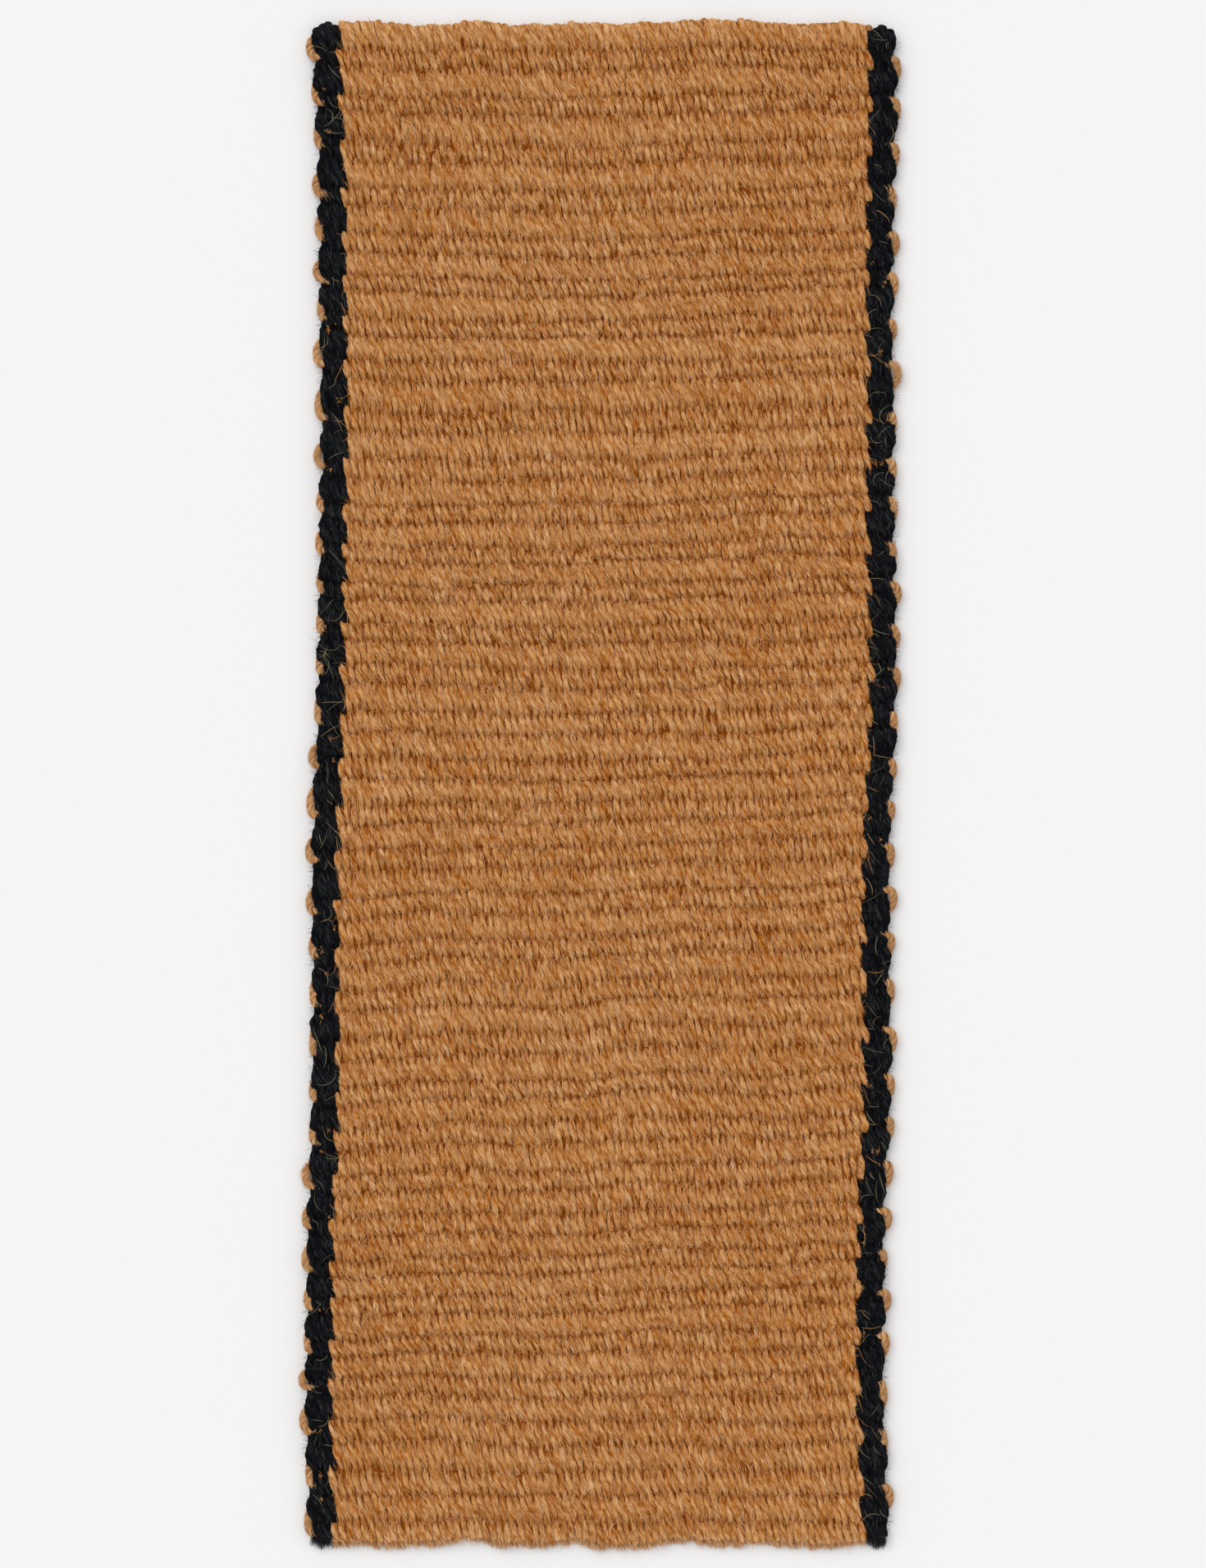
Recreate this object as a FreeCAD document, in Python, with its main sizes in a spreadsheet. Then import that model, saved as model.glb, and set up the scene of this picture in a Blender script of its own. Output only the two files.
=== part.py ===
"""A hand-woven runner rug: one long weft cord that snakes through raised warp yarns, tan in the field and
black along both long edges.

Frame: X is the width, Y the length and Z up. The origin is the middle of the footprint, on the floor.
"""

import math
import os

import FreeCAD
import Part

# Driving dimensions, millimetres, and counts. Each becomes one cell of the spreadsheet, under its own name.
SIZES = {
    "pick_count": 68,  # passes of the weft, one raised rib each
    "pick_pitch": 26.5,  # from one pass of the weft to the next
    "end_tail": 17.25,  # warp beyond the first pass and beyond the last
    "strand_count": 81,  # warp strands over the whole width, an odd number, so both edges weave alike
    "black_count": 4,  # black strands at each long edge
    "strand_width": 8.0,
    "strand_gap": 0.4,  # between neighbouring strands
    "strand_thickness": 3.6,
    "weft_diameter": 9.0,
    "weave_clearance": 0.3,  # between the weft and each strand that crosses it
    "loop_clearance": 0.5,  # between the outermost strand and the weft loop that turns round it
}
TAN_GROUPS = 12  # nodes that the tan strands are shared between

doc = FreeCAD.newDocument("runner_rug")


def make_sheet():
    """The spreadsheet of driving dimensions."""
    sheet = doc.addObject("Spreadsheet::Sheet", "sizes")
    for row, (name, value) in enumerate(SIZES.items(), start=1):
        sheet.set(f"A{row}", name)
        sheet.set(f"B{row}", str(value))
        sheet.setAlias(f"B{row}", name)
    doc.recompute()
    return sheet


sizes = make_sheet()
pick_count = int(sizes.pick_count)
strand_count = int(sizes.strand_count)
black_count = int(sizes.black_count)

# Places that follow from the sheet, as expressions of it: the height of the rug's middle plane, the step from
# one strand to the next, and the X of the first strand's outer side.
MIDDLE = "sizes.weft_diameter / 2 + sizes.weave_clearance + sizes.strand_thickness"
STEP = "(sizes.strand_width + sizes.strand_gap)"
CLOTH_EDGE = f"((sizes.strand_count - 1) / 2 * {STEP} + sizes.strand_width / 2)"


def pick_places():
    """The Y of every pass of the weft, from the +Y end of the rug to the -Y end."""
    middle = (pick_count - 1) / 2
    return [(middle - i) * sizes.pick_pitch for i in range(pick_count)]


def strand_side(rises_first):
    """The side view of one strand, as a face in the YZ plane about the rug's middle plane.

    A strand is tangent to the weft on its inner side, and it crosses the middle plane halfway between two
    passes. Over a pass its outer side is cut flat, which is the land that the rug lies on.
    """
    inner = sizes.weft_diameter / 2 + sizes.weave_clearance
    outer = inner + sizes.strand_thickness
    slope = math.asin((inner + outer) / sizes.pick_pitch)
    crest = inner / math.cos(slope)
    half_land = outer * math.tan(slope / 2)
    half_cut = sizes.strand_thickness / 2 / math.cos(slope)

    over = rises_first
    upper, lower = [], []
    for y in pick_places():
        if over:
            upper += [(y + half_land, outer), (y - half_land, outer)]
            lower += [(y, crest)]
        else:
            upper += [(y, -crest)]
            lower += [(y + half_land, -outer), (y - half_land, -outer)]
        over = not over

    # Beyond the end passes the strand keeps its slope, back to the middle plane and a little past it.
    run = sizes.end_tail - sizes.pick_pitch / 2
    drop = run * math.tan(slope)
    first = -drop if rises_first else drop
    last = drop if over else -drop
    start, end = pick_places()[0] + sizes.end_tail, pick_places()[-1] - sizes.end_tail
    upper = [(start, first + half_cut), *upper, (end, last + half_cut)]
    lower = [(start, first - half_cut), *lower, (end, last - half_cut)]
    outline = [FreeCAD.Vector(0, y, z) for y, z in upper + lower[::-1]]
    return Part.Face(Part.makePolygon([*outline, outline[0]]))


def make_sides():
    """Both side views: the strands that go over the first pass, and those that go under it."""
    sides = []
    for name, rises_first in (("side_over_first", True), ("side_under_first", False)):
        side = doc.addObject("Part::Feature", name)
        side.Shape = strand_side(rises_first)
        sides.append(side)
    return sides


def make_strand(index, sides):
    """One warp strand, numbered from the -X edge. Neighbours weave opposite ways."""
    strand = doc.addObject("Part::Extrusion", f"strand_{index + 1:02d}")
    strand.Base = sides[index % 2]
    strand.DirMode = "Custom"
    strand.Dir = FreeCAD.Vector(1, 0, 0)
    strand.Solid = True
    strand.setExpression("LengthFwd", "sizes.strand_width")
    strand.setExpression("Placement.Base.x", f"{index} * {STEP} - {CLOTH_EDGE}")
    strand.setExpression("Placement.Base.z", MIDDLE)
    return strand


def make_group(label, strands):
    """A node of strands that stay separate solids."""
    group = doc.addObject("Part::Compound", label)
    group.Label = label
    group.Links = strands
    return group


def weft_route():
    """The weft's centre line in the plane z = 0: straight passes, joined at the cloth's edges by loops.

    Each loop is two quarter turns and a straight stretch. It starts where the outermost strand ends, so the
    clearance to that strand is also the radius inside the loop's corners.
    """
    step = sizes.strand_width + sizes.strand_gap
    edge = (strand_count - 1) / 2 * step + sizes.strand_width / 2
    bend = sizes.weft_diameter / 2 + sizes.loop_clearance
    middle_of_arc = bend * math.sqrt(0.5)
    places = pick_places()

    def at(x, y):
        return FreeCAD.Vector(x, y, 0)

    edges = []
    here = at(edge + sizes.loop_clearance, places[0])
    side = -1
    for y, following in zip(places, places[1:]):
        leave, arrive = at(side * edge, y), at(side * edge, following)
        down, up = at(side * (edge + bend), y - bend), at(side * (edge + bend), following + bend)
        first = at(side * (edge + middle_of_arc), y - bend + middle_of_arc)
        second = at(side * (edge + middle_of_arc), following + bend - middle_of_arc)
        edges += [
            Part.LineSegment(here, leave).toShape(),
            Part.Arc(leave, first, down).toShape(),
            Part.LineSegment(down, up).toShape(),
            Part.Arc(up, second, arrive).toShape(),
        ]
        here = arrive
        side = -side
    cut = at(side * (edge + sizes.loop_clearance), places[-1])
    edges.append(Part.LineSegment(here, cut).toShape())
    return Part.Wire(edges)


def make_weft():
    """The one continuous weft cord."""
    spine = doc.addObject("Part::Feature", "weft_spine")
    spine.Shape = weft_route()
    start = spine.Shape.Edges[0].Vertexes[0].Point

    section = doc.addObject("Part::Circle", "weft_section")
    section.setExpression("Radius", "sizes.weft_diameter / 2")
    section.Placement = FreeCAD.Placement(start, FreeCAD.Rotation(FreeCAD.Vector(0, 1, 0), 90))

    weft = doc.addObject("Part::Sweep", "weft_cord")
    weft.Label = "weft_cord"
    weft.Sections = [section]
    weft.Spine = (spine, [])
    weft.Solid = True
    weft.setExpression("Placement.Base.z", MIDDLE)
    return weft


def make_nodes():
    """Every node of the rug, by its label."""
    sides = make_sides()
    strands = [make_strand(i, sides) for i in range(strand_count)]
    left, field = strands[:black_count], strands[black_count : strand_count - black_count]
    right = strands[strand_count - black_count :]

    nodes = [make_weft()]
    for name, band in (("left", left), ("right", right[::-1])):
        for number, strand in enumerate(band, start=1):
            strand.Label = f"black_warp_{name}_{number}"
            nodes.append(strand)
    edges = [round(i * len(field) / TAN_GROUPS) for i in range(TAN_GROUPS + 1)]
    for number, (low, high) in enumerate(zip(edges, edges[1:]), start=1):
        nodes.append(make_group(f"tan_warp_{number:02d}", field[low:high]))
    return nodes


def check_and_write(nodes):
    """Stops on anything that failed to build, then writes one STEP file for each node."""
    doc.recompute()
    for thing in doc.Objects:
        if "Invalid" in thing.State or "Error" in thing.State:
            raise RuntimeError(f"{thing.Label} did not build: {thing.State}")
    for node in nodes:
        if node.Shape.isNull() or not node.Shape.isValid() or not node.Shape.Solids:
            raise RuntimeError(f"{node.Label} has no valid solid")

    os.makedirs("parts", exist_ok=True)
    for node in nodes:
        node.Shape.exportStep(f"parts/{node.Label}.step")
        print(f"{node.Label}: {len(node.Shape.Solids)} solids, {node.Shape.Volume / 1000:.1f} cm3")


nodes = make_nodes()
check_and_write(nodes)

weft = next(node for node in nodes if node.Label == "weft_cord")
length = weft.Spine[0].Shape.Length
print(f"weft: {length / 1000:.2f} m, volume over section times length: "
      f"{weft.Shape.Volume / (math.pi * (sizes.weft_diameter / 2) ** 2 * length):.5f}")
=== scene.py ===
"""Looks of a hand-woven runner rug: every yarn of the weave, its loops, its turned and cut ends and its fuzz.

The cloth is worked out in a regular grid first, and then laid down by one smooth field that makes it as
uneven as a hand-woven rug. Metres throughout; X is the width, Y the length, Z up. A place along the cloth is
counted in picks, which are the passes of the weft: 0 is the first, at the +Y end. A warp yarn is an end,
counted from -X.
"""

import math

import bpy
import numpy as np
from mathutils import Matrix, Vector


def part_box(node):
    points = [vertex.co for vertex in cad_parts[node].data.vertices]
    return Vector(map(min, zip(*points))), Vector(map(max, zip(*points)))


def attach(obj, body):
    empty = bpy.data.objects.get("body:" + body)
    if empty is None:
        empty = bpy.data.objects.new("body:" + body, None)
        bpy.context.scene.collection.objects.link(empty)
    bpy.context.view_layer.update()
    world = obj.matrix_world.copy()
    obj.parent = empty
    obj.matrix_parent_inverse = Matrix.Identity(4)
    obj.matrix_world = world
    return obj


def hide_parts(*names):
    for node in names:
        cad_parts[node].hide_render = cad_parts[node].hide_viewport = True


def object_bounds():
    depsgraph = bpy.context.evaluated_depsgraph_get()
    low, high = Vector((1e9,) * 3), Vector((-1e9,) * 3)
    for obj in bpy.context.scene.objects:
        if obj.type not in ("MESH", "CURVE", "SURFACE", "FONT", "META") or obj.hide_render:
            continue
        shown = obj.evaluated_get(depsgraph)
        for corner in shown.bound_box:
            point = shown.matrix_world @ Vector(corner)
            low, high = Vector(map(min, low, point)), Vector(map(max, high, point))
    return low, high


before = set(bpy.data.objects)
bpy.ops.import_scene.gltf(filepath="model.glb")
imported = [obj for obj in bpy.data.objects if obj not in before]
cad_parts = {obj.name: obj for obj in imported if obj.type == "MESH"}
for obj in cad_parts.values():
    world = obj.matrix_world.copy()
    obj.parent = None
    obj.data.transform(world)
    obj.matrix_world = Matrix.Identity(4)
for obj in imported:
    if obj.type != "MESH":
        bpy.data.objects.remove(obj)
CAD_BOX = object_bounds()
TAN_NODES = sorted(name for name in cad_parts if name.startswith("tan_warp"))
BLACK_NODES = sorted(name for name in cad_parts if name.startswith("black_warp"))

# The weave, counted on the real rug.
PICKS = 68  # passes of the weft, one rib each
ENDS = 163  # warp yarns
BLACK_ENDS = 7  # of them, in each edge band
BLACK_BAND = 0.0258  # width of those when they lie flat: they are packed closer than the tan ones

# Where the frame has the cloth.
EDGE_LEFT = min(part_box(node)[0][0] for node in BLACK_NODES)
EDGE_RIGHT = max(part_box(node)[1][0] for node in BLACK_NODES)
Y_LOW, Y_HIGH = CAD_BOX[0][1], CAD_BOX[1][1]
THICKNESS = CAD_BOX[1][2]
MIDDLE = THICKNESS / 2
WEFT_LOW, WEFT_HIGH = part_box("weft_cord")
WEFT_RADIUS = (WEFT_HIGH[2] - WEFT_LOW[2]) / 2
PICK = (WEFT_HIGH[1] - WEFT_LOW[1] - 2 * WEFT_RADIUS) / (PICKS - 1)
FIRST_PICK = WEFT_HIGH[1] - WEFT_RADIUS
TAIL = (Y_HIGH - FIRST_PICK) / PICK  # warp beyond the end picks, in picks

# Warp yarn.
AROUND = 12  # vertices round a yarn
RINGS = 8  # rings of vertices in each pick
FLOAT_HALF_WIDTH = 5.3e-3  # where a yarn lies over a pick and spreads
FLOAT_HALF_HEIGHT = 2.6e-3
FLOAT_SINK = 0.35e-3  # how far floats lie below the cloth's face, at random
CROSS_HALF_WIDTH = 2.9e-3  # where it is squeezed between its neighbours and stands taller
FULLNESS = 0.07  # how much the floats differ in width
STEEPNESS = 1.05  # how sharply a yarn dives between ribs
UNEVEN_SHED = 0.27  # how much wider the ribs of the even yarns are than those of the odd ones
SHED_CHANGE = 0.35  # how much that differs along the cloth
EARLY = 0.11  # how much sooner or later than its neighbours a yarn dives, in picks
LEAN = 1.5e-3  # how far a float leans over sideways
EVEN_ROOM = 2.7e-3  # how far the yarns at an edge spread outwards: the outermost one and every second one
ODD_ROOM = 3.6e-3  # and those in between
EDGE_SWELL = 0.36  # how much that differs from pick to pick
PLY_TURN = 0.048  # length of yarn in which its two plies turn once
PLY_GROOVE = 0.27  # depth between the plies, as a share of the radius
LUMPS = 0.07  # unevenness of the yarn's surface, as a share of its radius


def end_x(end):
    """The X of a warp yarn in the regular grid."""
    counts = [0, BLACK_ENDS, ENDS - BLACK_ENDS, ENDS]
    places = [EDGE_LEFT, EDGE_LEFT + BLACK_BAND, EDGE_RIGHT - BLACK_BAND, EDGE_RIGHT]
    return np.interp(np.asarray(end) + 0.5, counts, places)


def pick_y(place):
    """The Y of a place in the regular grid."""
    return FIRST_PICK - place * PICK


# ---------------------------------------------------------------------------------------------------------
# Unevenness


def ripples(seed, count, shortest, longest):
    """A smooth random field over (x, y) with a spread of about one, as a sum of plane waves."""
    rng = np.random.default_rng(seed)
    lengths = np.exp(rng.uniform(math.log(shortest), math.log(longest), count))
    headings = rng.uniform(0, 2 * math.pi, count)
    phases = rng.uniform(0, 2 * math.pi, count)
    weights = rng.uniform(0.6, 1.0, count)
    weights /= math.sqrt((weights**2).sum() / 2)

    def field(x, y):
        total = np.zeros(np.broadcast(x, y).shape)
        for length, heading, phase, weight in zip(lengths, headings, phases, weights):
            along = x * math.cos(heading) + y * math.sin(heading)
            total += weight * np.sin(2 * math.pi * along / length + phase)
        return total

    return field


def smoothstep(low, high, value):
    """0 below low, 1 above high, and a smooth rise between them."""
    t = np.clip((value - low) / (high - low), 0, 1)
    return t * t * (3 - 2 * t)


def steps(value, changes):
    """A smooth curve through values, as a sum of changes, each given as (from, to, by how much)."""
    return sum(amount * smoothstep(low, high, value) for low, high, amount in changes)


# Slow changes along the cloth, which is 0 at its +Y end and 1 at its -Y end.
NARROWING = ((0.02, 0.12, 0.007), (0.04, 0.14, 0.008), (0.30, 0.45, -0.008))  # share of the width
DRIFT = ((0, 0.08, 0.003), (0.38, 0.62, -0.007), (0.72, 0.80, -0.0075), (0.88, 1, 0.0045))  # towards +X
# Ribs: how much further towards +Y their ends lie than their middle, and their +X end than their -X end.
SAG = ((0.0, 0.08, 0.010), (0.22, 0.55, -0.006), (0.84, 0.93, -0.004))
TILT = ((0.20, 0.32, 0.006), (0.34, 0.42, -0.005), (0.42, 0.62, 0.009), (0.84, 0.92, -0.010))
# Picks beaten down harder or softer: how far they get from their even places, in picks.
BEATING = (
    (0, 7, 0.30),
    (9, 14, -0.35),
    (14, 19, 0.45),
    (20, 27, -0.65),
    (37, 50, 0.35),
    (50, 62, -0.65),
    (61, PICKS - 1, 0.55),
)

BOW = ripples(11, 6, 0.45, 1.3)
SWAY = ripples(12, 5, 0.25, 0.8)
TUG = ripples(13, 14, 0.09, 0.30)
LIFT = ripples(14, 5, 0.35, 0.9)
EDGE_WAVE = ripples(15, 7, 0.09, 0.35)
SCALLOP = ripples(16, 9, 0.02, 0.07)
CLOUDS = ripples(21, 12, 0.10, 0.6)
LEANING = ripples(22, 8, 0.15, 0.5)
FLECKS = ripples(23, 18, 0.0026, 0.0060)

SHIFT = 1.5e-3  # of the whole cloth towards +X
SWAY_BY = 1.0e-3  # of the long edges, sideways
BOW_BY = 1.4e-3  # of the ribs, lengthwise
TUG_BY = 1.8e-3
EDGE_WAVE_BY = 2.0e-3  # of the two ends, lengthwise
SCALLOP_BY = 0.9e-3
END_REACH = 0.12  # how far into the cloth the ends' own waves are felt
LIFT_BY = 0.7e-3  # off the floor
FLOOR_GAP = 0.2e-3  # what stays free under the lowest yarn


def lay(x, y, z):
    """Moves points of the regular cloth to where a hand-woven one has them."""
    down = (Y_HIGH - y) / (Y_HIGH - Y_LOW)
    inside = np.clip(np.minimum(Y_HIGH - y, y - Y_LOW) / END_REACH, 0, 1)
    aside = x / EDGE_RIGHT
    end = np.sign(y)
    new_x = x * (1 - steps(down, NARROWING)) + SHIFT + steps(down, DRIFT) + SWAY_BY * SWAY(x * 0.3, y)
    ribs = BOW_BY * BOW(x, y) + TUG_BY * TUG(x, y)
    ribs = ribs + steps(down, SAG) * (aside**2 - 0.3) + steps(down, TILT) * aside
    ends = EDGE_WAVE_BY * EDGE_WAVE(x, end) + SCALLOP_BY * SCALLOP(x, end)
    new_y = y + inside * ribs + (1 - inside) * ends
    rise = LIFT_BY * (1 + np.clip(LIFT(x, y), -1, 1))
    return new_x, new_y, np.maximum(z + rise, FLOOR_GAP)


def laid(points):
    """The same for an array of points, (..., 3)."""
    return np.stack(lay(points[..., 0], points[..., 1], points[..., 2]), axis=-1)


# ---------------------------------------------------------------------------------------------------------
# Meshes

CAPS_V = 0.006  # in a tube's bake map, the height of its caps
SIDES_V = 0.014  # and of the lower end of its sides, which are above them


def grid_faces(rows, around, first=0):
    """Quads of a tube of rows rings with around vertices each."""
    row = np.arange(rows - 1)[:, None]
    col = np.arange(around)[None, :]
    after = (col + 1) % around
    a = first + row * around + col
    b = first + row * around + after
    return np.stack([a, b, b + around, a + around], axis=-1).reshape(-1, 4)


def cap_faces(rows, around, first=0):
    """Quads that close both ends of a tube with an even number of sides."""
    quads = np.array([(i, i + 1, around - 2 - i, around - 1 - i) for i in range(around // 2 - 1)])
    last = first + (rows - 1) * around
    return np.concatenate([first + quads, last + quads[:, ::-1]])


def tube_uv(rows, around, column, columns, folds):
    """A bake map for one tube: its length is cut into folds strips, side by side among all the piece's."""
    row = np.repeat(np.arange(rows - 1), around)
    side = np.tile(np.arange(around), rows - 1)
    per_fold = math.ceil((rows - 1) / folds)
    fold = row // per_fold
    strip = column * folds + fold
    margin = 0.08
    corners = []
    for d_side, d_row in ((0, 0), (1, 0), (1, 1), (0, 1)):
        u = (strip + margin + (1 - 2 * margin) * (side + d_side) / around) / (columns * folds)
        v = SIDES_V + (0.998 - SIDES_V) * (row - fold * per_fold + d_row) / per_fold
        corners.append(np.stack([u, v], axis=-1))
    return np.stack(corners, axis=1).reshape(-1, 2)


def cap_uv(around, column, columns, folds):
    """A bake map of a tube's two caps: each is a small disc below the tube's own strips."""
    angle = np.arange(around) * 2 * math.pi / around
    corners = []
    for cap in range(2):
        u = (column * folds + cap + 0.5 + 0.4 * np.cos(angle)) / (columns * folds)
        v = CAPS_V + 0.75 * CAPS_V * np.sin(angle)
        for i in range(around // 2 - 1):
            quad = [i, i + 1, around - 2 - i, around - 1 - i]
            quad = quad[::-1] if cap else quad
            corners.append(np.stack([u[quad], v[quad]], axis=-1))
    return np.concatenate(corners)


def new_mesh(name, vertices, faces, made_of, uv, **attributes):
    """A smooth-shaded mesh object made from arrays, riding on the rug's one body.

    made_of is the record's slot and the material; the slot is not used.
    """
    slot, material = made_of
    mesh = bpy.data.meshes.new(name)
    sides = faces.shape[1]
    mesh.vertices.add(len(vertices))
    mesh.vertices.foreach_set("co", np.ascontiguousarray(vertices, dtype=np.float32).ravel())
    mesh.loops.add(faces.size)
    mesh.loops.foreach_set("vertex_index", np.ascontiguousarray(faces, dtype=np.int32).ravel())
    mesh.polygons.add(len(faces))
    mesh.polygons.foreach_set("loop_start", np.arange(0, faces.size, sides, dtype=np.int32))
    mesh.polygons.foreach_set("use_smooth", np.ones(len(faces), dtype=bool))
    mesh.update(calc_edges=True)
    for key, values in attributes.items():
        values = np.ascontiguousarray(values, dtype=np.float32)
        kind = "FLOAT" if values.ndim == 1 else "FLOAT_VECTOR"
        layer = mesh.attributes.new(key, kind, "POINT")
        layer.data.foreach_set("value" if kind == "FLOAT" else "vector", values.ravel())
    layer = mesh.uv_layers.new(name="OFBake")
    layer.uv.foreach_set("vector", np.ascontiguousarray(uv, dtype=np.float32).ravel())
    mesh.materials.append(material)
    piece = bpy.data.objects.new(name, mesh)
    bpy.context.scene.collection.objects.link(piece)
    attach(piece, "root")
    return piece


# ---------------------------------------------------------------------------------------------------------
# Warp yarns

chance = np.random.default_rng(2024)
pick_shift = chance.normal(0, 0.05, PICKS) + steps(np.arange(PICKS), BEATING)
pick_bias = np.convolve(chance.normal(0, 1, PICKS + 6), np.ones(7) / math.sqrt(7), "valid")
pick_tone = chance.normal(0, 1, PICKS)
end_tone = chance.normal(0, 1, ENDS)
end_twist = chance.uniform(0, 2 * math.pi, ENDS)
end_turn = PLY_TURN * chance.uniform(0.85, 1.2, ENDS)
end_cut = chance.normal(0, 1, ENDS)
float_tone = chance.normal(0, 1, (ENDS, PICKS))
float_lean = chance.normal(0, 1, (ENDS, PICKS))
float_sink = np.abs(chance.normal(0, 1, (ENDS, PICKS)))
float_full = chance.normal(0, 1, (ENDS, PICKS))
float_early = chance.normal(0, 1, (ENDS, PICKS))
edge_swell = chance.normal(0, 1, (2, PICKS))

LAST_PICK = PICKS - 1
FIRST_TIP = -TAIL + 0.065  # where the yarns turn round the first pick, and where they are cut after the last
LAST_TIP = LAST_PICK + 0.42
CUT_ZONE = 0.75  # how far past the last pick the yarns have sunk to half their height, in picks
TIP = 0.11  # length over which a yarn rounds off at its tips, in picks


def ring_places():
    """Places of the rings of vertices along a yarn, closer together at its two tips."""
    rounding = np.array([0.001, 0.012, 0.035, 0.07, 0.12])
    start = np.concatenate([FIRST_TIP + rounding, [-0.36, -0.26, -0.17, -0.08]])
    body = np.arange(0, LAST_PICK * RINGS + 1) / RINGS
    stop = np.concatenate([LAST_PICK + np.array([0.12, 0.25]), LAST_TIP - rounding[::-1]])
    return np.concatenate([start, body, stop])


def by_pick(values, place, end=None):
    """Values kept for each pick, or for each yarn and pick, smoothly joined between the picks."""
    place = np.clip(place, 0, LAST_PICK)
    before = np.minimum(np.floor(place).astype(int), PICKS - 2)
    blend = smoothstep(0, 1, place - before)
    if end is None:
        return values[before] * (1 - blend) + values[before + 1] * blend
    values = values[end]
    rows = np.arange(len(values)).reshape(-1, *[1] * (before.ndim - 1))
    return values[rows, before] * (1 - blend) + values[rows, before + 1] * blend


def past_ends(place):
    """How far a place is into the turned end and into the cut end, from 0 to 1."""
    return np.clip(place / FIRST_TIP, 0, 1), np.clip((place - LAST_PICK) / CUT_ZONE, 0, 1)


def from_edge(end):
    """How many yarns there are between a warp yarn and the nearer edge."""
    return np.minimum(end, ENDS - 1 - end)


def outwards(end):
    """The sign of X towards the edge that a warp yarn is nearer to, as a column."""
    return np.where(end < ENDS / 2, -1, 1)[:, None]


def starts_over(end):
    """1 for a yarn that is on top at the first pick, -1 for one that is under it, as a column."""
    return (1 - 2 * (end % 2))[:, None]


def yarn_height(end, place):
    """Height of a yarn's middle, from -1 to 1 between the cloth's faces, and its spread, from 0 to 1."""
    bias = UNEVEN_SHED * (1 + SHED_CHANGE * by_pick(pick_bias, place))
    woven = np.clip(place, 0, 1) * np.clip(LAST_PICK - place, 0, 1)
    early = EARLY * by_pick(float_early, place, end) * woven
    swing = np.cos(math.pi * (np.clip(place, 0, LAST_PICK) + early)) + bias
    height = np.tanh(STEEPNESS * swing) / np.tanh(STEEPNESS * (1 + np.sign(swing) * bias))
    height = np.where(height < 0, 0.95, 1.0) * height
    before, after = past_ends(place)
    height = starts_over(end) * height * np.sqrt(1 - before**2) * (1 - 0.5 * after**1.5)
    return height, np.minimum(np.abs(swing), 1) ** 0.7


def yarn_half_width(end, place, spread):
    """Half the width of a yarn. The outermost ones aren't hemmed in by neighbours, so they are wider."""
    half_width = CROSS_HALF_WIDTH + (FLOAT_HALF_WIDTH - CROSS_HALF_WIDTH) * spread
    half_width = half_width * (1 + FULLNESS * by_pick(float_full, place, end))
    outermost = np.clip(1 - from_edge(end) / 4, 0, 1)[:, None]
    return half_width * (1 + outermost * (0.14 + 0.25 * (1 - spread)))


def sideways_lean(end, place, x, y):
    """How far a float's two halves lean to either side."""
    lean = LEAN + 0.7e-3 * by_pick(float_lean, place, end) + 0.5e-3 * LEANING(x, y)
    lean = lean * np.clip(from_edge(end) / 6, 0.2, 1)[:, None]
    pick = np.round(place)
    return starts_over(end) * np.cos(math.pi * pick) * np.sin(math.pi * (place - pick)) * lean


def band_tips(end, place):
    """How far the black yarns of a band are moved outwards and in Y, to be drawn together at both tips."""
    before, after = past_ends(place)
    cut = np.minimum(after / 0.56, 1)
    half = BLACK_ENDS // 2
    aside = np.clip((from_edge(end) - half) / half, -1, 1)[:, None]
    out = (0.12 * before**2 + 0.42 * cut**2) * aside * BLACK_BAND / 2
    back = (0.004 + 0.007 * aside**2) * cut**2 - (0.003 + 0.003 * aside**2) * before
    in_band = (from_edge(end) < BLACK_ENDS)[:, None]
    return np.where(in_band, out, 0), np.where(in_band, back, 0)


def edge_room(end, place, height):
    """How far yarns near an edge spread outwards, where there is room. It makes the bands swell by turns."""
    inward = from_edge(end)
    even = EVEN_ROOM * np.clip(1 - inward / 6, 0, 1)[:, None] * (1 + height) / 2
    odd = ODD_ROOM * np.clip(1 - inward / 12, 0, 1)[:, None]
    before, _ = past_ends(place)
    swell = 1 + EDGE_SWELL * by_pick(edge_swell, place, np.where(end < ENDS / 2, 0, 1))
    return np.where((inward % 2 == 0)[:, None], even, odd) * (1 - 0.7 * before) * swell


def yarn_line(end, place):
    """Middle, half width and half height of warp yarns in the grid. end is (n,), place is (n, m)."""
    height, spread = yarn_height(end, place)
    half_width = yarn_half_width(end, place, spread)
    half_height = FLOAT_HALF_WIDTH * FLOAT_HALF_HEIGHT / half_width
    z = MIDDLE + height * (MIDDLE - FLOAT_HALF_HEIGHT - FLOAT_SINK * by_pick(float_sink, place, end))

    before, after = past_ends(place)
    shift = by_pick(pick_shift, place) * np.clip(np.minimum(place + 0.6, LAST_TIP - place), 0, 1)
    y = pick_y(place + shift) + 0.9e-3 * end_cut[end][:, None] * (before - 1.6 * after)
    out, back = band_tips(end, place)
    x = end_x(end)[:, None]
    x = x + sideways_lean(end, place, x, y) + outwards(end) * (out + edge_room(end, place, height))
    return x, y + back, z, half_width, half_height


def flecks(x, y):
    """Small light and dark locks of fibre, drawn out along the lie of the yarn."""
    return FLECKS(x + 0.22 * y, 0.4 * y)


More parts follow.
